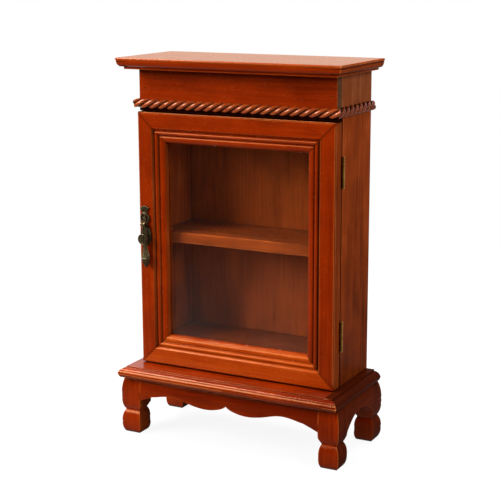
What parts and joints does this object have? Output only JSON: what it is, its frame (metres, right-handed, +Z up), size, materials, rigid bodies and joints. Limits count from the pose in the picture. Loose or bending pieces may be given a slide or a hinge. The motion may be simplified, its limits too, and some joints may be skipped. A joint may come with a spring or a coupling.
{
  "type": "thimble display case",
  "caption": "Small glazed display cabinet with a hinged mitred door, a shelf, rope moulding, drop pull and shaped bracket feet.",
  "frame": {"origin": "on the floor, under the centre of the whole piece's width and depth", "axes": "+X to the right of a viewer facing the door, -Y out of the door, +Z up"},
  "size_m": [0.2266, 0.1068, 0.3573],
  "materials": {
    "lacquered_wood": "gloss lacquer",
    "back_board": "satin lacquer",
    "door_glass": "clear",
    "hinge_brass": "polished",
    "antique_brass": "dark antique",
    "steel": "plain",
    "dowel_wood": "raw"
  },
  "bodies": {
    "case": {"apron_front": "lacquered_wood", "apron_left": "lacquered_wood", "apron_right": "lacquered_wood", "back_panel": "back_board", "back_panel_pins": "steel", "base_back_rail": "lacquered_wood", "bottom_board": "lacquered_wood", "bottom_rail": "lacquered_wood", "case_dowels": "dowel_wood", "catch_magnet": "steel", "ceiling_board": "lacquered_wood", "frieze_board": "lacquered_wood", "frieze_brads": "steel", "hinge_case_screws": "hinge_brass", "hinge_lower_case_leaf": "hinge_brass", "hinge_lower_pin": "hinge_brass", "hinge_upper_case_leaf": "hinge_brass", "hinge_upper_pin": "hinge_brass", "leg_dowels": "dowel_wood", "leg_front_left": "lacquered_wood", "leg_front_right": "lacquered_wood", "leg_rear_left": "lacquered_wood", "leg_rear_right": "lacquered_wood", "plinth_board": "lacquered_wood", "rope_moulding_front": "lacquered_wood", "rope_moulding_left": "lacquered_wood", "rope_moulding_right": "lacquered_wood", "shelf": "lacquered_wood", "shelf_brads": "steel", "side_panel_left": "lacquered_wood", "side_panel_right": "lacquered_wood", "top_board": "lacquered_wood"},
    "door": {"door_stile_left": "lacquered_wood", "door_stile_right": "lacquered_wood", "door_rail_top": "lacquered_wood", "door_rail_bottom": "lacquered_wood", "door_glass": "door_glass", "glass_retainer_left": "lacquered_wood", "glass_retainer_right": "lacquered_wood", "glass_retainer_top": "lacquered_wood", "glass_retainer_bottom": "lacquered_wood", "hinge_upper_door_leaf": "hinge_brass", "hinge_lower_door_leaf": "hinge_brass", "hinge_door_screws": "hinge_brass", "pull_backplate": "antique_brass", "pull_pivot_pin": "antique_brass", "pull_nails": "antique_brass", "catch_strike": "steel"},
    "pull": {"pull_drop": "antique_brass"}
  },
  "joints": [
    {"name": "door_hinge", "type": "hinge", "parent": "case", "child": "door", "pos_m": [0.1016, -0.01685, 0.1875], "axis": [0, 0, 1], "range_deg": [0, 180]},
    {"name": "pull_swing", "type": "hinge", "parent": "door", "child": "pull", "pos_m": [-0.09297, -0.03485, 0.20306], "axis": [-0.9981, 0, -0.061], "range_deg": [0, 85]}
  ]
}
